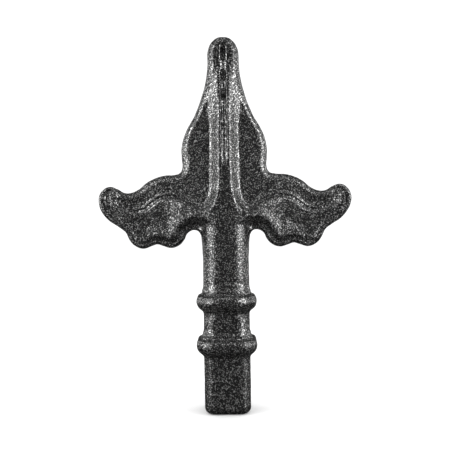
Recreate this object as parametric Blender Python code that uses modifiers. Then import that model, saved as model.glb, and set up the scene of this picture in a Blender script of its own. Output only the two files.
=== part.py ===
"""Forged railing finial: a leaf blade over two scrolled wings, on a square shank with two collars.

The finial is one forging. A plain blank is put together from a flat leaf, a tapering rib, a square bar
and two rings, and then its whole surface is pressed onto the surface that the two halves of the die
leave: rounded rims, sunk fields, drafted walls, dished lobes, a grooved rib and beaded collars. Both
halves of the die are alike, so the front and the back are the same.

The origin is the middle of the shank's flat end. +Z runs to the tip and X runs along the wings.
"""

import bmesh
import bpy
import numpy as np
from mathutils import Matrix
from mathutils.geometry import interpolate_bezier

MM = 0.001

# Shank
BAR_HALF_WIDTH = 10 * MM
BAR_TOP = 88 * MM

# The bar's corners grow rounder on their way up, as (z, radius)
BAR_CORNERS = ((27 * MM, 4 * MM), (51 * MM, 6 * MM))
FOOT_CORNER = 3 * MM

# Collars: round beads around the bar
COLLAR_HEIGHTS = (29.2 * MM, 47.8 * MM)
COLLAR_BEAD = 4.4 * MM
COLLAR_SINK = 1.3 * MM
COLLAR_FILLET = 2.5 * MM

# Right half of the leaf, from the tip down to the arch beside the shank, as (x, z) in millimetres
LEAF_HALF_OUTLINE = (
    (4.6, 159.7), (6.6, 155.8), (6.9, 150.2), (7.6, 144.2), (9.6, 136.2), (12.6, 128.6), (16.3, 122.0),
    (18.6, 114.7), (18.7, 109.7), (18.4, 105.8), (19.4, 103.4), (21.8, 102.6), (25.6, 102.4), (29.6, 101.5),
    (33.6, 99.6), (37.4, 96.5), (40.4, 95.1), (43.4, 95.0), (46.6, 96.7), (49.8, 97.7), (52.9, 96.2),
    (54.7, 93.0), (54.5, 89.3), (52.9, 85.8), (50.0, 82.6), (46.2, 80.1), (43.4, 77.9), (41.6, 74.6),
    (39.2, 71.9), (35.6, 70.6), (32.4, 71.5), (29.6, 72.3), (27.0, 71.6), (23.6, 70.7), (20.3, 71.7),
    (18.0, 74.0), (16.2, 77.1), (13.3, 78.2), (10.9, 77.0), (9.7, 74.2), (8.0, 67.2),
)
LEAF_TOP = 161.6
LEAF_HEEL = 61.2

# Foot of the wall around the right sunk field: down beside the rib, then along the wing's wave
FIELD_EDGE = (
    (5.1, 147.2), (5.1, 133.2), (5.1, 119.2), (5.2, 105.2), (5.4, 97.2), (6.0, 92.6), (7.4, 89.4),
    (9.6, 88.1), (12.4, 89.3), (15.8, 91.4), (19.6, 93.0), (23.6, 93.6), (27.6, 93.0), (31.4, 90.9),
    (35.2, 88.1), (38.8, 87.0), (42.2, 87.8), (44.7, 90.0), (46.1, 92.8), (46.7, 96.2), (47.0, 100.2),
)

# Half thicknesses
FIELD_DEPTH = 2.4 * MM
RIM_DEPTH = 3.5 * MM
RIM_CREST = 2.4 * MM
RIM_FOOT = 4.2 * MM
LOBE_FLOOR = 3.3 * MM
LOBE_RIM = 4.2 * MM

# Edge radii of the leaf: the blade and the wings' tops, the lobes below the wave, and the head
RIM_RADIUS = 3.5 * MM
LOBE_RADIUS = 2.7 * MM
LOBE_TOP = 101 * MM
WAVE_HALF_BAND = 1 * MM
HEAD_RADIUS = 4.6 * MM
HEAD_BAND = (131 * MM, 147 * MM)

# Draft and fillets of the walls
WALL_DRAFT = 3.0
WALL_FOOT = 0.6 * MM
FOOT_FILLET = 1.6 * MM
SHOULDER_FILLET = 1.4 * MM
SHOULDER_BAND = (1.6 * MM, 4.0 * MM)
LOBE_RIM_BAND = (2.2 * MM, 4.6 * MM)

# Half thickness along the middle, from the bar up the rib to the head, as (z, depth)
CREST = ((88 * MM, 10 * MM), (96 * MM, 9.4 * MM), (147 * MM, 5.6 * MM), (163 * MM, 5.0 * MM))
RIB_HALF_WIDTH = 2.5 * MM
RIB_FOOT = 97 * MM
RIB_CLEAR = 109 * MM

# The root: the bar's depth falls away along the wings, down to the arches, and swells the fields above
ROOT_HALF_WIDTH = 16 * MM
ROOT_FALL = 4
ARCH_SLOPE = 2.0
ROOT_HEIGHT = 89 * MM
SWELL_CORE = 4 * MM
SWELL_REACH = 20 * MM
SWELL_DEPTH = 3.4 * MM

# Fillet between the bar and the leaf: none on the front, where they are flush, and full at the bar's sides
ROOT_FILLET = 2.4 * MM
ROOT_FILLET_BAND = (7 * MM, 10 * MM)
FLUSH_FILLET = 0.1 * MM

# Smooth slope that leads from the rib out to the edge below the head, as (z, depth)
SKIRT = ((111 * MM, 0.5 * MM), (123 * MM, 2.6 * MM), (133 * MM, 4.2 * MM), (149 * MM, 5.6 * MM))
SKIRT_START = 3.7 * MM
SKIRT_SLOPE = 0.58

# Groove down the rib and the pit at its top, as (z, depth)
GROOVE = (
    (110 * MM, 0), (120 * MM, 1.4 * MM), (144.5 * MM, 1.5 * MM), (146.5 * MM, 0.5 * MM),
    (151 * MM, 0.5 * MM), (152.5 * MM, 1.8 * MM), (155.8 * MM, 1.8 * MM), (157.4 * MM, 0),
)
GROOVE_FLOOR = 0.6 * MM
GROOVE_EDGE = 1.4 * MM

# Blank and die
BLANK_HALF_DEPTH = 3.5 * MM
BOSS_HALF_WIDTH = 15 * MM
BOSS_HALF_DEPTH = 8 * MM
BOSS_HEIGHTS = (81 * MM, 90 * MM)
BLANK_VOXEL = 0.7 * MM
RING_SIDES = 32
MAP_STEP = 0.4 * MM
MAP_LOW = np.array((0, 58 * MM))
MAP_HIGH = np.array((58 * MM, 166 * MM))

# Pressing: blows of the die, with small steps along the surface's slope in each
BLOWS = 4
STEPS = 8
NUDGE = 0.02 * MM
GENTLEST_SLOPE = 0.05

# Finished mesh
TRIANGLES = 9400
WELD = 0.01 * MM
FLAT_BAND = 0.05 * MM


def clear_scene():
    for leftover in list(bpy.data.objects):
        bpy.data.objects.remove(leftover)


def dark_forged_iron():
    material = bpy.data.materials.new("dark_forged_iron")
    material.use_nodes = True
    shader = material.node_tree.nodes["Principled BSDF"]
    shader.inputs["Base Color"].default_value = (0.06, 0.06, 0.06, 1)
    shader.inputs["Metallic"].default_value = 0.8
    shader.inputs["Roughness"].default_value = 0.42
    return material


def blend_step(low, high, value):
    """Runs smoothly from 0 at low to 1 at high."""
    share = np.clip((value - low) / (high - low), 0, 1)
    return share * share * (3 - 2 * share)


def soft_min(first, second, fillet):
    """The lesser of two fields, rounded where they come within a fillet of each other."""
    near = np.maximum(fillet - np.abs(first - second), 0)
    return np.minimum(first, second) - near * near / (4 * fillet)


def soft_max(first, second, fillet):
    return -soft_min(-first, -second, fillet)


def along(stations, height):
    """Reads a list of (z, depth) stations at any height."""
    heights, depths = zip(*stations)
    return np.interp(height, heights, depths)


def flat_curve(name, points, closed):
    """A 2D curve through points of the XZ plane, smooth at each of them."""
    curve = bpy.data.curves.new(name, "CURVE")
    curve.dimensions = "2D"
    curve.fill_mode = "BOTH" if closed else "NONE"
    curve.resolution_u = 6
    spline = curve.splines.new("BEZIER")
    spline.bezier_points.add(len(points) - 1)
    for knot, (x, z) in zip(spline.bezier_points, points):
        knot.co = (x * MM, z * MM, 0)
        knot.handle_left_type = knot.handle_right_type = "AUTO"
    spline.use_cyclic_u = closed
    upright = bpy.data.objects.new(name, curve)
    upright.matrix_world = Matrix.Rotation(np.pi / 2, 4, "X")
    bpy.context.collection.objects.link(upright)
    return upright


def curve_points(upright):
    """The curve as a fine chain of (x, z) points."""
    bpy.context.view_layer.update()
    spline = upright.data.splines[0]
    knots = list(spline.bezier_points)
    if spline.use_cyclic_u:
        knots.append(knots[0])
    chain = []
    for knot, following in zip(knots, knots[1:]):
        ends = knot.co, knot.handle_right, following.handle_left, following.co
        chain.extend(interpolate_bezier(*ends, spline.resolution_u + 1)[:-1])
    chain.append(knots[-1].co)
    return np.array([point[:2] for point in chain])


def distance_to_chain(places, chain):
    """Distance from each place to the nearest point of the chain, and the side of it: +1 to its left."""
    nearest = np.full(len(places), np.inf)
    side = np.ones(len(places))
    for start, end in zip(chain, chain[1:]):
        run = end - start
        offset = places - start
        share = np.clip(offset @ run / (run @ run), 0, 1)
        gap = np.hypot(*(offset - share[:, None] * run).T)
        closer = gap < nearest
        nearest[closer] = gap[closer]
        side[closer] = np.sign(run[0] * offset[closer, 1] - run[1] * offset[closer, 0])
    return nearest * side


def leaf_outline():
    right = list(LEAF_HALF_OUTLINE)
    left = [(-x, z) for x, z in reversed(right)]
    return flat_curve("leaf_outline", [(0, LEAF_TOP), *right, (0, LEAF_HEEL), *left], closed=True)


def bar_section_gap(points):
    """Signed distance in plan from the bar's rounded square section."""
    radius = along(BAR_CORNERS, points[:, 2])
    corner = np.abs(points[:, :2]) - (BAR_HALF_WIDTH - radius)[:, None]
    outside = np.hypot(*np.maximum(corner, 0).T)
    return outside + np.minimum(corner.max(axis=1), 0) - radius


def rounded_gap(across, along_depth, radius):
    """Signed distance from two faces that meet in an edge of the given radius."""
    across = across + radius
    along_depth = along_depth + radius
    corner = np.hypot(np.maximum(across, 0), np.maximum(along_depth, 0))
    return corner + np.minimum(np.maximum(across, along_depth), 0) - radius


def bar_gap(points):
    middle = BAR_TOP / 2
    ends = np.abs(points[:, 2] - middle) - middle
    return rounded_gap(bar_section_gap(points), ends, FOOT_CORNER)


def collared_bar_gap(points):
    section = bar_section_gap(points)
    gap = bar_gap(points)
    for height in COLLAR_HEIGHTS:
        bead = np.hypot(section + COLLAR_SINK, points[:, 2] - height) - COLLAR_BEAD
        gap = soft_min(gap, bead, COLLAR_FILLET)
    return gap


def field_depth(x, z, inside):
    """Half thickness of a sunk field with the rim around it."""
    root = 1 - blend_step(SWELL_CORE, SWELL_REACH, np.hypot(x, z - ROOT_HEIGHT))
    floor = FIELD_DEPTH + SWELL_DEPTH * root
    rim = 1 - blend_step(RIM_CREST, RIM_FOOT, inside)
    return floor + np.maximum(RIM_DEPTH - floor, 0) * rim


def raised_depth(x, z, inside, field_side):
    """Half thickness of all that stands above the fields: the rib, the root and the dished lobes."""
    banks = np.maximum(1 - blend_step(*SHOULDER_BAND, -field_side), 1 - blend_step(*LOBE_RIM_BAND, inside))
    lobe = LOBE_FLOOR + (LOBE_RIM - LOBE_FLOOR) * banks
    crest = along(CREST, z)
    root = lobe + (crest - lobe) / (1 + (x / ROOT_HALF_WIDTH) ** ROOT_FALL)
    arch = lobe + ARCH_SLOPE * np.maximum(inside - LOBE_RADIUS, 0)
    rib_share = blend_step(RIB_FOOT, RIB_CLEAR, z)
    return soft_min(root, arch, SHOULDER_FILLET) * (1 - rib_share) + crest * rib_share


def die_depth(x, z, inside, field_side):
    """Half thickness of the leaf at any (x, z)."""
    field = field_depth(x, z, inside)
    wall = field + WALL_DRAFT * (WALL_FOOT - field_side)
    raised = soft_min(raised_depth(x, z, inside, field_side), wall, SHOULDER_FILLET)
    skirt = along(SKIRT, z) - SKIRT_SLOPE * (x - SKIRT_START)
    depth = soft_max(soft_max(field, raised, FOOT_FILLET), np.minimum(skirt, along(CREST, z)), FOOT_FILLET)
    return depth - along(GROOVE, z) * (1 - blend_step(GROOVE_FLOOR, GROOVE_EDGE, x))


def soften(grid):
    """Blurs a map a little along both axes, mirrored at the middle plane."""
    weights = (0.25, 0.5, 0.25)
    for axis in (0, 1):
        padded = np.pad(grid, [(1, 1) if a == axis else (0, 0) for a in (0, 1)], "reflect")
        slices = [np.take(padded, range(i, i + grid.shape[axis]), axis) for i in range(3)]
        grid = sum(weight * part for weight, part in zip(weights, slices))
    return grid


class DieMap:
    """Maps over the right half of the XZ plane, read at any place by bilinear interpolation."""

    def __init__(self, outline, field_edge):
        columns = np.arange(MAP_LOW[0], MAP_HIGH[0], MAP_STEP)
        rows = np.arange(MAP_LOW[1], MAP_HIGH[1], MAP_STEP)
        x, z = np.meshgrid(columns, rows, indexing="ij")
        places = np.stack((x.ravel(), z.ravel()), axis=1)
        inside = -distance_to_chain(places, outline).reshape(x.shape)
        field_side = distance_to_chain(places, field_edge).reshape(x.shape)
        self.inside = inside
        self.depth = soften(die_depth(x, z, inside, field_side))
        lobe = blend_step(-WAVE_HALF_BAND, WAVE_HALF_BAND, -field_side) * (z < LOBE_TOP)
        head = blend_step(*HEAD_BAND, z)
        self.radius = RIM_RADIUS + (LOBE_RADIUS - RIM_RADIUS) * lobe + (HEAD_RADIUS - RIM_RADIUS) * head

    def read(self, grid, points):
        spot = (np.stack((np.abs(points[:, 0]), points[:, 2]), axis=1) - MAP_LOW) / MAP_STEP
        spot = np.clip(spot, 0, np.array(grid.shape) - 1.001)
        i, k = spot.astype(int).T
        u, w = (spot % 1).T
        low = grid[i, k] * (1 - u) + grid[i + 1, k] * u
        high = grid[i, k + 1] * (1 - u) + grid[i + 1, k + 1] * u
        return low * (1 - w) + high * w

    def leaf_gap(self, points):
        across = -self.read(self.inside, points)
        depth = np.abs(points[:, 1]) - self.read(self.depth, points)
        return rounded_gap(across, depth, self.read(self.radius, points))

    def gap(self, points):
        side = blend_step(*ROOT_FILLET_BAND, np.abs(points[:, 0]))
        fillet = FLUSH_FILLET + (ROOT_FILLET - FLUSH_FILLET) * side
        return soft_min(self.leaf_gap(points), collared_bar_gap(points), fillet)


def press(points, die):
    """Moves points onto the die's surface along its slope."""
    for _ in range(STEPS):
        gap = die.gap(points)
        slope = np.empty_like(points)
        for axis in range(3):
            shift = np.zeros(3)
            shift[axis] = NUDGE
            slope[:, axis] = (die.gap(points + shift) - die.gap(points - shift)) / (2 * NUDGE)
        steepness = np.maximum((slope * slope).sum(axis=1), GENTLEST_SLOPE)
        points = points - slope * (gap / steepness)[:, None]
    return points


def evaluated_mesh(item):
    """The object's mesh as its modifiers leave it."""
    bpy.context.view_layer.update()
    finished = item.evaluated_get(bpy.context.evaluated_depsgraph_get())
    return bpy.data.meshes.new_from_object(finished)


def link(name, mesh, collection):
    item = bpy.data.objects.new(name, mesh)
    collection.objects.link(item)
    return item


def add_block(blank, low_z, high_z, half_x, low_half_y, high_half_y):
    """Adds a square bar that may taper from front to back on its way up."""
    corners = bmesh.ops.create_cube(blank, size=2)["verts"]
    for corner in corners:
        top = corner.co.z > 0
        half_y = high_half_y if top else low_half_y
        corner.co = (corner.co.x * half_x, corner.co.y * half_y, high_z if top else low_z)


def add_ring(blank, height):
    radius = BAR_HALF_WIDTH + COLLAR_BEAD - COLLAR_SINK
    bmesh.ops.create_cone(
        blank,
        cap_ends=True,
        segments=RING_SIDES,
        radius1=radius,
        radius2=radius,
        depth=1.5 * COLLAR_BEAD,
        matrix=Matrix.Translation((0, 0, height)),
    )


def rough_blank(outline, workshop):
    """Leaf, rib, bar and rings, run together into one even skin."""
    outline.data.extrude = BLANK_HALF_DEPTH
    blank = bmesh.new()
    leaf = evaluated_mesh(outline)
    leaf.transform(outline.matrix_world)
    blank.from_mesh(leaf)
    bmesh.ops.remove_doubles(blank, verts=blank.verts, dist=WELD)
    add_block(blank, 0, BAR_TOP, BAR_HALF_WIDTH, BAR_HALF_WIDTH, BAR_HALF_WIDTH)
    add_block(blank, *BOSS_HEIGHTS, BOSS_HALF_WIDTH, BOSS_HALF_DEPTH, BOSS_HALF_DEPTH)
    rib_foot, rib_top = CREST[0], CREST[2]
    add_block(blank, BAR_TOP - BAR_HALF_WIDTH, rib_top[0], RIB_HALF_WIDTH, rib_foot[1], rib_top[1])
    for height in COLLAR_HEIGHTS:
        add_ring(blank, height)
    mesh = bpy.data.meshes.new("blank")
    blank.to_mesh(mesh)
    blank.free()
    item = link("blank", mesh, workshop)
    skin = item.modifiers.new("skin", "REMESH")
    skin.mode = "VOXEL"
    skin.voxel_size = BLANK_VOXEL
    return item


def keep_side(work, outward):
    """Cuts the mesh through the origin and drops what lies on the outward side."""
    bmesh.ops.bisect_plane(
        work,
        geom=[*work.verts, *work.edges, *work.faces],
        dist=FLAT_BAND,
        plane_co=(0, 0, 0),
        plane_no=outward,
        clear_outer=True,
    )


def stamp(blank, die):
    """One quarter of the blank's skin, evened out and pressed to the die."""
    mesh = evaluated_mesh(blank)
    work = bmesh.new()
    work.from_mesh(mesh)
    every_axis = dict(use_axis_x=True, use_axis_y=True, use_axis_z=True)
    for _ in range(BLOWS):
        bmesh.ops.smooth_vert(work, verts=work.verts, factor=0.5, **every_axis)
        pressed = press(np.array([vert.co for vert in work.verts]), die)
        for vert, point in zip(work.verts, pressed):
            vert.co = point
    keep_side(work, (-1, 0, 0))
    keep_side(work, (0, -1, 0))
    bmesh.ops.triangulate(work, faces=work.faces)
    work.to_mesh(mesh)
    work.free()
    return mesh


def flatten_foot(mesh):
    """Makes the shank's end one flat face on z = 0."""
    work = bmesh.new()
    work.from_mesh(mesh)
    bmesh.ops.remove_doubles(work, verts=work.verts, dist=WELD)
    bmesh.ops.dissolve_degenerate(work, edges=work.edges, dist=WELD)
    for vert in work.verts:
        if vert.co.z < FLAT_BAND:
            vert.co.z = 0
    foot = [face for face in work.faces if all(vert.co.z == 0 for vert in face.verts)]
    bmesh.ops.dissolve_faces(work, faces=foot, use_verts=True)
    work.to_mesh(mesh)
    work.free()


def build():
    clear_scene()
    finial_collection = bpy.data.collections.new("finial")
    workshop = bpy.data.collections.new("workshop")
    for collection in (finial_collection, workshop):
        bpy.context.scene.collection.children.link(collection)

    outline = leaf_outline()
    field_edge = flat_curve("field_edge", FIELD_EDGE, closed=False)
    rim = curve_points(outline)
    right_rim = rim[:len(rim) // 2 + 1]
    die = DieMap(right_rim, curve_points(field_edge))

    blank = rough_blank(outline, workshop)
    finial = link("finial", stamp(blank, die), finial_collection)
    thinning = finial.modifiers.new("thinning", "DECIMATE")
    thinning.ratio = TRIANGLES / (4 * len(finial.data.polygons))
    quarters = finial.modifiers.new("quarters", "MIRROR")
    quarters.use_axis = (True, True, False)
    quarters.merge_threshold = FLAT_BAND
    thinned = evaluated_mesh(finial)
    finial.modifiers.clear()
    flatten_foot(thinned)
    finial.data = thinned
    finial.data.materials.append(dark_forged_iron())
    finial.data.shade_smooth()
    for helper in (outline, field_edge, blank):
        bpy.data.objects.remove(helper)


build()
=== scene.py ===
import bmesh
import bpy
import numpy as np
from mathutils import Matrix, Vector
from mathutils.geometry import interpolate_bezier


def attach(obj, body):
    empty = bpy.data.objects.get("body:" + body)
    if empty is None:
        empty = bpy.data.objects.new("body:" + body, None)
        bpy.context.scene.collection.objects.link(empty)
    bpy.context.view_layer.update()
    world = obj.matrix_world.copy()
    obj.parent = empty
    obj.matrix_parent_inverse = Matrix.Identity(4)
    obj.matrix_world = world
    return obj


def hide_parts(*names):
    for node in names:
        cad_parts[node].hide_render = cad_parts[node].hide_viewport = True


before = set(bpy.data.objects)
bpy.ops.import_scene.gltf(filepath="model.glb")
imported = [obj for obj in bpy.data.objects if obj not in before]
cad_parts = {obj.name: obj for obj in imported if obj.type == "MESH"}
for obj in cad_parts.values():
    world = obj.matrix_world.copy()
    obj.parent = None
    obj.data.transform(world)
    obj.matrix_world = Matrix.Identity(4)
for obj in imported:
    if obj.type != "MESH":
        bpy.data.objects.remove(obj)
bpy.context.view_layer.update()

# Leaf
# The upper part of the finial: a blade over two scrolled wings, stamped between the two halves of a die from
# a flat of iron. Its fields are sunk, its rims are rolled round and its wings end in dished lobes.
MM = 0.001

# Right half, from the tip down to the arch beside the shank, as (x, z) in millimetres
LEAF_HALF_OUTLINE = (
    (4.6, 159.7), (6.6, 155.8), (6.9, 150.2), (7.6, 144.2), (9.6, 136.2), (12.6, 128.6), (16.3, 122.0),
    (18.6, 114.7), (18.7, 109.7), (18.4, 105.8), (19.4, 103.4), (21.8, 102.6), (25.6, 102.4), (29.6, 101.5),
    (33.6, 99.6), (37.4, 96.5), (40.4, 95.1), (43.4, 95.0), (46.6, 96.7), (49.8, 97.7), (52.9, 96.2),
    (54.7, 93.0), (54.5, 89.3), (52.9, 85.8), (50.0, 82.6), (46.2, 80.1), (43.4, 77.9), (41.6, 74.6),
    (39.2, 71.9), (35.6, 70.6), (32.4, 71.5), (29.6, 72.3), (27.0, 71.6), (23.6, 70.7), (20.3, 71.7),
    (18.0, 74.0), (16.2, 77.1), (13.3, 78.2), (10.9, 77.0), (9.7, 74.2), (8.0, 67.2),
)
LEAF_TOP = 161.6
LEAF_HEEL = 61.2

# Foot of the wall around the right sunk field: down beside the rib, then along the wing's wave
FIELD_EDGE = (
    (5.1, 147.2), (5.1, 133.2), (5.1, 119.2), (5.2, 105.2), (5.4, 97.2), (6.0, 92.6), (7.4, 89.4),
    (9.6, 88.1), (12.4, 89.3), (15.8, 91.4), (19.6, 93.0), (23.6, 93.6), (27.6, 93.0), (31.4, 90.9),
    (35.2, 88.1), (38.8, 87.0), (42.2, 87.8), (44.7, 90.0), (46.1, 92.8), (46.7, 96.2), (47.0, 100.2),
)
CURVE_STEPS = 6

# Half thicknesses: the sunk fields with their rims, and the dished lobes with a lip round them
FIELD_DEPTH = 2.4 * MM
RIM_DEPTH = 3.3 * MM
RIM_CREST = 2.4 * MM
RIM_FOOT = 4.4 * MM
LOBE_FLOOR = 2.9 * MM
LOBE_DISH = ((0, 1.3 * MM), (0.5, 0), (1, 0.6 * MM))
LIP_HEIGHT = 0.8 * MM
LIP_BAND = (1 * MM, 2.4 * MM)

# Edge radii: the blade and the wings' tops, the lobes below the wave, and the head
RIM_RADIUS = 3.5 * MM
LOBE_RADIUS = 2.4 * MM
LOBE_TOP = 101 * MM
WAVE_HALF_BAND = 1 * MM
HEAD_RADIUS = 3.4 * MM
HEAD_BAND = (131 * MM, 147 * MM)

# The wave: two slopes, one above the other, from the field up to the lobe's shoulder, with a crease between
WAVE_SLOPE = (1.2 * MM, -2.1 * MM)
WAVE_ROUNDING = 0.15
CREASE_PLACE = -0.55 * MM
CREASE_WIDTH = 0.5 * MM
CREASE_DEPTH = 1.5 * MM
CREASE_START = 8 * MM

# The rib's flank, measured into the field, and how much of it is rounded off at the foot and at the crest
RIB_FLANK = (0.7 * MM, -2.5 * MM)
FLANK_ROUNDING = (0.3, 0.25)
FLANK_BAND_Z = (90 * MM, 97 * MM)
FLANK_BAND_X = (7 * MM, 9 * MM)

# Half thickness along the middle, from the bar up the rib to the head, as (z, depth)
CREST = (
    (88 * MM, 10 * MM), (105 * MM, 8.4 * MM), (120 * MM, 6.9 * MM), (135 * MM, 6.1 * MM), (147 * MM, 5.7 * MM),
    (163 * MM, 5.2 * MM),
)
RIB_FOOT = 97 * MM
RIB_CLEAR = 109 * MM

# The root: the bar's depth thins out along the wings, falls off to the arches, and swells the fields above
ROOT_TAPER = ((4 * MM, 1), (14 * MM, 0.72), (24 * MM, 0.33), (34 * MM, 0.1), (46 * MM, 0))
ARCH_SLOPE = 1.9
ARCH_FILLET = 2 * MM
ROOT_HEIGHT = 89 * MM
SWELL_REACH = 40 * MM
SWELL_DEPTH = 4 * MM

# Smooth roof that leads from the rib out to the edge below the head, as (z, depth) and (z, slope)
ROOF = ((108 * MM, 0.5 * MM), (120 * MM, 4.0 * MM), (130 * MM, 6.2 * MM), (163 * MM, 6.4 * MM))
ROOF_SLOPE = ((130 * MM, 0.72), (140 * MM, 0.6), (150 * MM, 0.2))
ROOF_START = 2.5 * MM
ROOF_FILLET = 1.2 * MM
CREST_FILLET = 0.6 * MM

# Groove down the rib and the pit at its top, as (z, depth)
GROOVE = (
    (105 * MM, 0), (113 * MM, 1.5 * MM), (121 * MM, 3 * MM), (145 * MM, 3.2 * MM), (147 * MM, 0.5 * MM),
    (150.5 * MM, 0.5 * MM), (152 * MM, 2.2 * MM), (156 * MM, 2.2 * MM), (157.6 * MM, 0),
)
GROOVE_FLOOR = 0.1 * MM
GROOVE_EDGE = 1.35 * MM
MAP_STEP = 0.2 * MM


def blend_step(low, high, value):
    """Runs smoothly from 0 at low to 1 at high."""
    share = np.clip((value - low) / (high - low), 0, 1)
    return share * share * (3 - 2 * share)


def soft_min(first, second, fillet):
    """The lesser of two fields, rounded where they come within a fillet of each other."""
    near = np.maximum(fillet - np.abs(first - second), 0)
    return np.minimum(first, second) - near * near / (4 * fillet)


def soft_max(first, second, fillet):
    return -soft_min(-first, -second, fillet)


def along(stations, height):
    """Reads a list of (z, depth) stations at any height."""
    heights, depths = zip(*stations)
    return np.interp(height, heights, depths)


def curve_points(knots, closed):
    """A smooth curve through points of the XZ plane, as a fine chain of (x, z) points."""
    curve = bpy.data.curves.new("die_line", "CURVE")
    spline = curve.splines.new("BEZIER")
    spline.bezier_points.add(len(knots) - 1)
    for knot, (x, z) in zip(spline.bezier_points, knots):
        knot.co = (x * MM, z * MM, 0)
        knot.handle_left_type = knot.handle_right_type = "AUTO"
    spline.use_cyclic_u = closed
    holder = bpy.data.objects.new("die_line", curve)
    bpy.context.scene.collection.objects.link(holder)
    bpy.context.view_layer.update()
    knots = list(spline.bezier_points)
    if closed:
        knots.append(knots[0])
    chain = []
    for knot, following in zip(knots, knots[1:]):
        ends = knot.co, knot.handle_right, following.handle_left, following.co
        chain.extend(interpolate_bezier(*ends, CURVE_STEPS + 1)[:-1])
    chain.append(knots[-1].co)
    chain = np.array([point[:2] for point in chain])
    bpy.data.objects.remove(holder)
    return chain


def distance_to_chain(places, chain):
    """Distance from each place to the nearest point of the chain, above 0 to the left of it."""
    nearest = np.full(len(places), np.inf)
    side = np.ones(len(places))
    for start, end in zip(chain, chain[1:]):
        run = end - start
        offset = places - start
        share = np.clip(offset @ run / (run @ run), 0, 1)
        gap = np.hypot(*(offset - share[:, None] * run).T)
        closer = gap < nearest
        nearest[closer] = gap[closer]
        side[closer] = np.sign(run[0] * offset[closer, 1] - run[1] * offset[closer, 0])
    return nearest * side


def ramp(start, end, value, foot, top):
    """Runs straight from 0 at start to 1 at end, with its two corners rounded off."""
    return soft_min(soft_max((value - start) / (end - start), 0, foot), 1, top)


def field_depth(x, z, inside):
    """Half thickness of a sunk field with the rim around it."""
    swell = SWELL_DEPTH * (1 - ramp(0, SWELL_REACH, np.hypot(x, z - ROOT_HEIGHT), 0.2, 0.4))
    rim = 1 - blend_step(RIM_CREST, RIM_FOOT, inside)
    floor = FIELD_DEPTH + swell
    return floor + np.maximum(RIM_DEPTH - floor, 0) * rim


def lobe_depth(inside, field_side):
    """Half thickness of a dished lobe: a shoulder below the wave, a valley and a raised lip at the edge."""
    below = np.maximum(-field_side, 0)
    edge = np.maximum(inside, 0)
    share = below / np.maximum(below + edge, MAP_STEP)
    lip = LIP_HEIGHT * (1 - blend_step(*LIP_BAND, inside))
    return LOBE_FLOOR + along(LOBE_DISH, share) + lip


def raised_depth(x, z, inside, field_side):
    """Half thickness of all that stands above the fields: the rib, the root and the dished lobes."""
    lobe = lobe_depth(inside, field_side)
    crest = along(CREST, z)
    root = lobe + (crest - lobe) * along(ROOT_TAPER, x)
    arch = lobe + ARCH_SLOPE * np.maximum(inside - LIP_BAND[1], 0)
    rib_share = blend_step(RIB_FOOT, RIB_CLEAR, z)
    return soft_min(root, arch, ARCH_FILLET) * (1 - rib_share) + crest * rib_share


def wall_share(x, z, field_side):
    """How far the wall has risen, from 0 in the field to 1 on the rib or on the wave's shoulder."""
    wave = ramp(*WAVE_SLOPE, field_side, WAVE_ROUNDING, WAVE_ROUNDING)
    flank = ramp(*RIB_FLANK, field_side, *FLANK_ROUNDING)
    beside_rib = blend_step(*FLANK_BAND_Z, z) * (1 - blend_step(*FLANK_BAND_X, x))
    return wave + (flank - wave) * beside_rib


def die_depth(x, z, inside, field_side):
    """Half thickness of the leaf at any (x, z)."""
    field = field_depth(x, z, inside)
    raised = raised_depth(x, z, inside, field_side)
    walled = field + (raised - field) * wall_share(x, z, field_side)
    roof = along(ROOF, z) - along(ROOF_SLOPE, z) * (x - ROOF_START)
    roof = soft_min(roof, along(CREST, z), CREST_FILLET)
    depth = soft_max(walled, roof, ROOF_FILLET)
    crease = np.exp(-((field_side - CREASE_PLACE) / CREASE_WIDTH) ** 2) * (z < RIB_FOOT)
    crease *= blend_step(CREASE_START, CREASE_START + 2 * MM, x)
    groove = along(GROOVE, z) * (1 - blend_step(GROOVE_FLOOR, GROOVE_EDGE, x))
    return depth - groove - CREASE_DEPTH * crease


# Shank and collars
# A square bar of iron, cut off square to be welded on top of a picket. Two round beads are swaged out of it,
# and its corners were left rounder the nearer they are to the leaf.
BAR_HALF_WIDTH = 10 * MM
BAR_TOP = 88 * MM
BAR_CORNERS = ((27 * MM, 4.6 * MM), (51 * MM, 7.2 * MM))
FOOT_CORNER = 3 * MM
COLLAR_HEIGHTS = (29.2 * MM, 47.8 * MM)
COLLAR_BEAD = 4.4 * MM
COLLAR_SINK = 1.3 * MM
COLLAR_FILLET = 1.4 * MM

# Above each bead the bar flares a little and meets it in a crease
FLARE_HEIGHT = 0.5 * MM
FLARE_BAND = (3.4 * MM, 7.5 * MM)
LAP_PLACE = 3.3 * MM
LAP_WIDTH = 0.6 * MM
LAP_DEPTH = 1.3 * MM


def bar_section_gap(points):
    """Signed distance in plan from the bar's rounded square section."""
    radius = along(BAR_CORNERS, points[:, 2])
    corner = np.abs(points[:, :2]) - (BAR_HALF_WIDTH - radius)[:, None]
    outside = np.hypot(*np.maximum(corner, 0).T)
    return outside + np.minimum(corner.max(axis=1), 0) - radius


def rounded_gap(across, along_depth, radius):
    """Signed distance from two faces that meet in an edge of the given radius."""
    across = across + radius
    along_depth = along_depth + radius
    corner = np.hypot(np.maximum(across, 0), np.maximum(along_depth, 0))
    return corner + np.minimum(np.maximum(across, along_depth), 0) - radius


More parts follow.
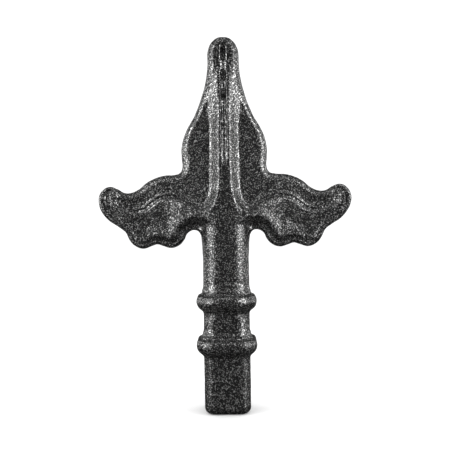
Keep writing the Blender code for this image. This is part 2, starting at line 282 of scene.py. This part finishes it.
def collared_bar_gap(points):
    section = bar_section_gap(points)
    middle = BAR_TOP / 2
    gap = rounded_gap(section, np.abs(points[:, 2] - middle) - middle, FOOT_CORNER)
    for height in COLLAR_HEIGHTS:
        rise = points[:, 2] - height
        bead = np.hypot(section + COLLAR_SINK, rise) - COLLAR_BEAD
        flare = FLARE_HEIGHT * (1 - blend_step(*FLARE_BAND, np.abs(rise))) * (rise > 0)
        lap = LAP_DEPTH * np.exp(-((rise - LAP_PLACE) / LAP_WIDTH) ** 2)
        gap = soft_min(gap - flare, bead, COLLAR_FILLET) + lap
    return gap


# Forging
# The whole finial is one forging: the iron is driven into the die until its skin takes the die's shape. A
# fine skin is laid over the plain solid and pressed onto that shape in a few blows.
MAP_LOW = np.array((0, 58 * MM))
MAP_HIGH = np.array((58 * MM, 166 * MM))
ROOT_FILLET = 2.4 * MM
ROOT_FILLET_BAND = (7 * MM, 10 * MM)
FLUSH_FILLET = 0.1 * MM
SKIN_VOXEL = 0.42 * MM
BLOWS = 3
STEPS = 5
NUDGE = 0.01 * MM
GENTLEST_SLOPE = 0.05
SKIN_TRIANGLES = 190000


def soften(grid):
    """Blurs a map a little along both axes, mirrored at the middle plane."""
    weights = (0.25, 0.5, 0.25)
    for axis in (0, 1):
        padded = np.pad(grid, [(1, 1) if a == axis else (0, 0) for a in (0, 1)], "reflect")
        slices = [np.take(padded, range(i, i + grid.shape[axis]), axis) for i in range(3)]
        grid = sum(weight * part for weight, part in zip(weights, slices))
    return grid


class DieMap:
    """Maps over the right half of the XZ plane, read at any place by bilinear interpolation."""

    def __init__(self, outline, field_edge):
        columns = np.arange(MAP_LOW[0], MAP_HIGH[0], MAP_STEP)
        rows = np.arange(MAP_LOW[1], MAP_HIGH[1], MAP_STEP)
        x, z = np.meshgrid(columns, rows, indexing="ij")
        places = np.stack((x.ravel(), z.ravel()), axis=1)
        inside = -distance_to_chain(places, outline).reshape(x.shape)
        field_side = distance_to_chain(places, field_edge).reshape(x.shape)
        self.inside = inside
        self.depth = soften(die_depth(x, z, inside, field_side))
        lobe = blend_step(-WAVE_HALF_BAND, WAVE_HALF_BAND, -field_side) * (z < LOBE_TOP)
        head = blend_step(*HEAD_BAND, z)
        self.radius = RIM_RADIUS + (LOBE_RADIUS - RIM_RADIUS) * lobe + (HEAD_RADIUS - RIM_RADIUS) * head

    def read(self, grid, points):
        spot = (np.stack((np.abs(points[:, 0]), points[:, 2]), axis=1) - MAP_LOW) / MAP_STEP
        spot = np.clip(spot, 0, np.array(grid.shape) - 1.001)
        i, k = spot.astype(int).T
        u, w = (spot % 1).T
        low = grid[i, k] * (1 - u) + grid[i + 1, k] * u
        high = grid[i, k + 1] * (1 - u) + grid[i + 1, k + 1] * u
        return low * (1 - w) + high * w

    def leaf_gap(self, points):
        across = -self.read(self.inside, points)
        depth = np.abs(points[:, 1]) - self.read(self.depth, points)
        return rounded_gap(across, depth, self.read(self.radius, points))

    def gap(self, points):
        side = blend_step(*ROOT_FILLET_BAND, np.abs(points[:, 0]))
        fillet = FLUSH_FILLET + (ROOT_FILLET - FLUSH_FILLET) * side
        return soft_min(self.leaf_gap(points), collared_bar_gap(points), fillet)

    def slope(self, points):
        slope = np.empty_like(points)
        for axis in range(3):
            shift = np.zeros(3)
            shift[axis] = NUDGE
            slope[:, axis] = (self.gap(points + shift) - self.gap(points - shift)) / (2 * NUDGE)
        return slope


def press(points, die):
    """Moves points onto the die's surface along its slope."""
    for _ in range(STEPS):
        slope = die.slope(points)
        steepness = np.maximum((slope * slope).sum(axis=1), GENTLEST_SLOPE)
        points = points - slope * (die.gap(points) / steepness)[:, None]
    return points


def fine_skin(node):
    """The node's solid as an even, dense mesh."""
    work = bmesh.new()
    work.from_mesh(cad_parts[node].data)
    bmesh.ops.remove_doubles(work, verts=work.verts, dist=0.001 * MM)
    mesh = bpy.data.meshes.new("forged_finial")
    work.to_mesh(mesh)
    work.free()
    piece = bpy.data.objects.new("forged_finial", mesh)
    bpy.context.scene.collection.objects.link(piece)
    skin = piece.modifiers.new("skin", "REMESH")
    skin.mode = "VOXEL"
    skin.voxel_size = SKIN_VOXEL
    settle_modifiers(piece)
    return piece


def settle_modifiers(piece):
    """Gives the piece its mesh as the modifiers leave it, and takes them off."""
    bpy.context.view_layer.update()
    finished = piece.evaluated_get(bpy.context.evaluated_depsgraph_get())
    piece.data = bpy.data.meshes.new_from_object(finished)
    piece.modifiers.clear()


right = list(LEAF_HALF_OUTLINE)
left = [(-x, z) for x, z in reversed(right)]
rim = curve_points([(0, LEAF_TOP), *right, (0, LEAF_HEEL), *left], closed=True)
die = DieMap(rim[:len(rim) // 2 + 1], curve_points(FIELD_EDGE, closed=False))

finial = fine_skin("finial")
work = bmesh.new()
work.from_mesh(finial.data)
every_axis = dict(use_axis_x=True, use_axis_y=True, use_axis_z=True)
for _ in range(BLOWS):
    bmesh.ops.smooth_vert(work, verts=work.verts, factor=0.5, **every_axis)
    pressed = press(np.array([vert.co for vert in work.verts]), die)
    for vert, point in zip(work.verts, pressed):
        vert.co = point


# Skin
# Forged iron is never quite even. The hammer left low lumps all over it, and scale was driven in and fell out
# again, so the skin of the flats and slopes is finely dented.
LUMPS = ((7 * MM, 0.10 * MM), (2.4 * MM, 0.06 * MM), (1.1 * MM, 0.04 * MM))
SINK = 0.14 * MM
LEAST_SINK = 0.02 * MM
DICE_SIDE = 32


def lumps(points, size, seed):
    """Smooth noise between -1 and 1 with grains of the given size."""
    dice = np.random.default_rng(seed).uniform(-1, 1, (DICE_SIDE, DICE_SIDE, DICE_SIDE))
    spot = points / size
    cell = np.floor(spot).astype(int)
    share = spot - cell
    share = share * share * (3 - 2 * share)
    total = 0
    for corner in np.ndindex(2, 2, 2):
        weight = np.prod(np.where(corner, share, 1 - share), axis=1)
        total = total + weight * dice[tuple(((cell + corner) % DICE_SIDE).T)]
    return total


points = np.array([vert.co for vert in work.verts])
slope = die.slope(points)
outward = slope / np.linalg.norm(slope, axis=1, keepdims=True)
relief = sum(height * lumps(points, size, seed) for seed, (size, height) in enumerate(LUMPS, start=1))
relief = np.minimum(relief - SINK, -LEAST_SINK)
for vert, point in zip(work.verts, points + outward * relief[:, None]):
    vert.co = point
work.to_mesh(finial.data)
work.free()
thinning = finial.modifiers.new("thinning", "DECIMATE")
thinning.ratio = SKIN_TRIANGLES / (2 * len(finial.data.polygons))
settle_modifiers(finial)
finial.data.shade_smooth()

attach(finial, "root")
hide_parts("finial")

# Finish
# Bare dark iron, oiled over its forge scale. Every grain of the pitted skin stands at its own angle, and the
# colour
# is flecked at random with painted glints: bright patches that stand in for grains catching the light.
GRAIN_SIZE = 0.75 * MM
GRAIN_HEIGHT = 0.09 * MM
# Size, threshold band and colour of the painted glints
PAINTED_GLINT_SIZE = 0.5 * MM
PAINTED_GLINT_BAND = (0.55, 0.65)
DARK_IRON = (0.085, 0.085, 0.085, 1)
PAINTED_GLINT_COLOUR = (0.9, 0.9, 0.89, 1)
IRON_ROUGHNESS = (0.34, 0.42)
iron = bpy.data.materials.new("dark_forged_iron")
iron.use_nodes = True
nodes = iron.node_tree.nodes
links = iron.node_tree.links
shader = nodes["Principled BSDF"]
shader.inputs["Metallic"].default_value = 1.0


def add_noise(size, detail, roughness=0.5):
    noise = nodes.new("ShaderNodeTexNoise")
    noise.inputs["Scale"].default_value = 1 / size
    noise.inputs["Detail"].default_value = detail
    noise.inputs["Roughness"].default_value = roughness
    links.new(place.outputs["Object"], noise.inputs["Vector"])
    return noise.outputs["Fac"]


def add_range(value, low, high, new_low, new_high):
    stretch = nodes.new("ShaderNodeMapRange")
    stretch.inputs["From Min"].default_value = low
    stretch.inputs["From Max"].default_value = high
    stretch.inputs["To Min"].default_value = new_low
    stretch.inputs["To Max"].default_value = new_high
    links.new(value, stretch.inputs["Value"])
    return stretch.outputs["Result"]


def add_math(operation, first, second=0.0):
    step = nodes.new("ShaderNodeMath")
    step.operation = operation
    for socket, value in zip(step.inputs, (first, second)):
        if isinstance(value, float):
            socket.default_value = value
        else:
            links.new(value, socket)
    return step.outputs["Value"]


place = nodes.new("ShaderNodeTexCoord")
grain = add_noise(GRAIN_SIZE, 2)
# Painted glints: a random mask mixes bright patches into the iron's colour in place of grains that catch the
# light
painted_glint_mask = add_range(add_noise(PAINTED_GLINT_SIZE, 1), *PAINTED_GLINT_BAND, 0, 1)
tone = nodes.new("ShaderNodeMix")
tone.data_type = "RGBA"
tone.inputs["A"].default_value = DARK_IRON
tone.inputs["B"].default_value = PAINTED_GLINT_COLOUR
links.new(painted_glint_mask, tone.inputs["Factor"])
links.new(tone.outputs["Result"], shader.inputs["Base Color"])
links.new(add_range(painted_glint_mask, 0, 1, *IRON_ROUGHNESS), shader.inputs["Roughness"])
bump = nodes.new("ShaderNodeBump")
bump.inputs["Strength"].default_value = 1.0
bump.inputs["Distance"].default_value = GRAIN_HEIGHT
links.new(grain, bump.inputs["Height"])
links.new(bump.outputs["Normal"], shader.inputs["Normal"])
finial.data.materials.clear()
finial.data.materials.append(iron)

# Floor
# A plain pale floor that runs on past the picture. In the iron's reflections it is painted dark: a painted
# shade on the iron's down-facing surfaces.
FLOOR_RADIUS = 4
PALE = (0.92, 0.92, 0.92, 1)
PAINTED_SHADE_IN_REFLECTIONS = (0.05, 0.05, 0.05, 1)
floor_work = bmesh.new()
bmesh.ops.create_circle(floor_work, cap_ends=True, segments=64, radius=FLOOR_RADIUS)
floor_mesh = bpy.data.meshes.new("floor")
floor_work.to_mesh(floor_mesh)
floor_work.free()
floor = bpy.data.objects.new("floor", floor_mesh)
bpy.context.scene.collection.objects.link(floor)
pale = bpy.data.materials.new("pale_floor")
pale.use_nodes = True
nodes = pale.node_tree.nodes
links = pale.node_tree.links
shader = nodes["Principled BSDF"]
shader.inputs["Roughness"].default_value = 1
shader.inputs["Specular IOR Level"].default_value = 0
rays = nodes.new("ShaderNodeLightPath")
tone = nodes.new("ShaderNodeMix")
tone.data_type = "RGBA"
tone.inputs["A"].default_value = PALE
tone.inputs["B"].default_value = PAINTED_SHADE_IN_REFLECTIONS
# Glossy rays see the painted shade colour, and all other rays see the pale floor
links.new(rays.outputs["Is Glossy Ray"], tone.inputs["Factor"])
links.new(tone.outputs["Result"], shader.inputs["Base Color"])
floor.data.materials.append(pale)

# Light
# Two tall soft panels at the sides rake over the relief and leave the front dark, and two weaker ones stand
# behind them. A pale room with a dark front fills the rest.
PANELS = (("left", -56, 4.8), ("right", 56, 4.8), ("back_left", -124, 1.4), ("back_right", 124, 1.4))
PANEL_DISTANCE = 0.8
PANEL_WIDTH = 0.45
PANEL_HEIGHT = 1.0
PANEL_RISE = np.radians(5)
MIDDLE = Vector((0, 0, 0.09))


def add_panel(name, azimuth, power):
    """A soft rectangular light that faces the finial."""
    turn = np.radians(azimuth)
    level = np.cos(PANEL_RISE)
    away = Vector((np.sin(turn) * level, -np.cos(turn) * level, np.sin(PANEL_RISE)))
    panel = bpy.data.lights.new(name, "AREA")
    panel.shape = "RECTANGLE"
    panel.size = PANEL_WIDTH
    panel.size_y = PANEL_HEIGHT
    panel.energy = power
    holder = bpy.data.objects.new(name, panel)
    bpy.context.scene.collection.objects.link(holder)
    holder.location = MIDDLE + away * PANEL_DISTANCE
    holder.rotation_euler = away.to_track_quat("Z", "Y").to_euler()


for name, azimuth, power in PANELS:
    add_panel(name + "_panel", azimuth, power)

# The room as seen in the iron: pale at both sides and overhead, dark in front and behind. The picture itself
# shows it white.
FRONT_TONE = 0.03
SIDE_TONE = 1.0
SIDE_BAND = (0.93, 0.97)
TOP_TONE = 0.4
TOP_BAND = (0.45, 0.8)
BACK_SHARE = 0.3
ROOM_TONE = 1.15
world = bpy.data.worlds.new("studio")
bpy.context.scene.world = world
world.use_nodes = True
nodes = world.node_tree.nodes
links = world.node_tree.links
room = nodes["Background"]
room.inputs["Color"].default_value = (1, 1, 1, 1)
rays = nodes.new("ShaderNodeLightPath")
heading = nodes.new("ShaderNodeTexCoord")
parts = nodes.new("ShaderNodeSeparateXYZ")
links.new(heading.outputs["Generated"], parts.inputs["Vector"])
sides = add_range(add_math("ABSOLUTE", parts.outputs["X"]), *SIDE_BAND, FRONT_TONE, SIDE_TONE)
behind = add_range(parts.outputs["Y"], 0, 0.3, 1, BACK_SHARE)
top = add_math("MULTIPLY", add_range(parts.outputs["Z"], *TOP_BAND, FRONT_TONE, TOP_TONE), behind)
reflected = add_math("MAXIMUM", sides, top)
plain = add_math("MULTIPLY", add_math("SUBTRACT", 1.0, rays.outputs["Is Glossy Ray"]), ROOM_TONE)
links.new(add_math("MAXIMUM", reflected, plain), room.inputs["Strength"])
bpy.context.scene.view_settings.view_transform = "Standard"

# Camera
# Level with the middle of the finial, straight in front of it, and turned a little about its own axis.
CAMERA_PLACE = Vector((-0.15 * MM, -300 * MM, 80.4 * MM))
CAMERA_LENS = 55.2
SENSOR_WIDTH = 36
CLIP_START = 0.01
CAMERA_ROLL = np.radians(-0.8588)
lens = bpy.data.cameras.new("camera")
lens.lens = CAMERA_LENS
lens.sensor_width = SENSOR_WIDTH
lens.clip_start = CLIP_START
camera = bpy.data.objects.new("camera", lens)
bpy.context.scene.collection.objects.link(camera)
facing = Vector((0, 1, 0)).to_track_quat("-Z", "Y").to_matrix().to_4x4()
camera.matrix_world = Matrix.Translation(CAMERA_PLACE) @ facing @ Matrix.Rotation(CAMERA_ROLL, 4, "Z")
bpy.context.scene.camera = camera
